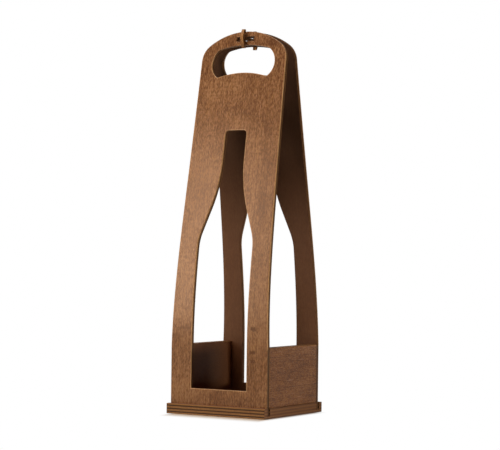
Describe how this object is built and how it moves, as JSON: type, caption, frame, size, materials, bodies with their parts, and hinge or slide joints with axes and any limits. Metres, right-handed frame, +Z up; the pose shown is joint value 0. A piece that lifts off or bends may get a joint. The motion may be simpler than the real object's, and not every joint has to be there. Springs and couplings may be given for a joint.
{
  "type": "bottle caddy",
  "caption": "Plywood carrier for a wine bottle: square base, low side walls and tall panels with bottle-shaped windows and hand holes, locked at the top by a turning key.",
  "frame": {"origin": "middle of the base board's underside", "axes": "+Z up towards the handle; the panels face -Y (front) and +Y (rear); the low walls are at -X and +X"},
  "size_m": [0.12, 0.12, 0.4063],
  "materials": {
    "stained_plywood": "stained birch plywood, satin",
    "key_plywood": "stained birch plywood, cut edges showing"
  },
  "bodies": {
    "caddy": {"base_board": "stained_plywood", "front_panel": "stained_plywood", "rear_panel": "stained_plywood", "left_wall": "stained_plywood", "right_wall": "stained_plywood"},
    "key": {"locking_key": "key_plywood"}
  },
  "joints": [
    {"name": "key_turn", "type": "hinge", "parent": "caddy", "child": "key", "pos_m": [0, 0, 0.3963], "axis": [0, 1, 0], "range_deg": [-90, 90]}
  ]
}
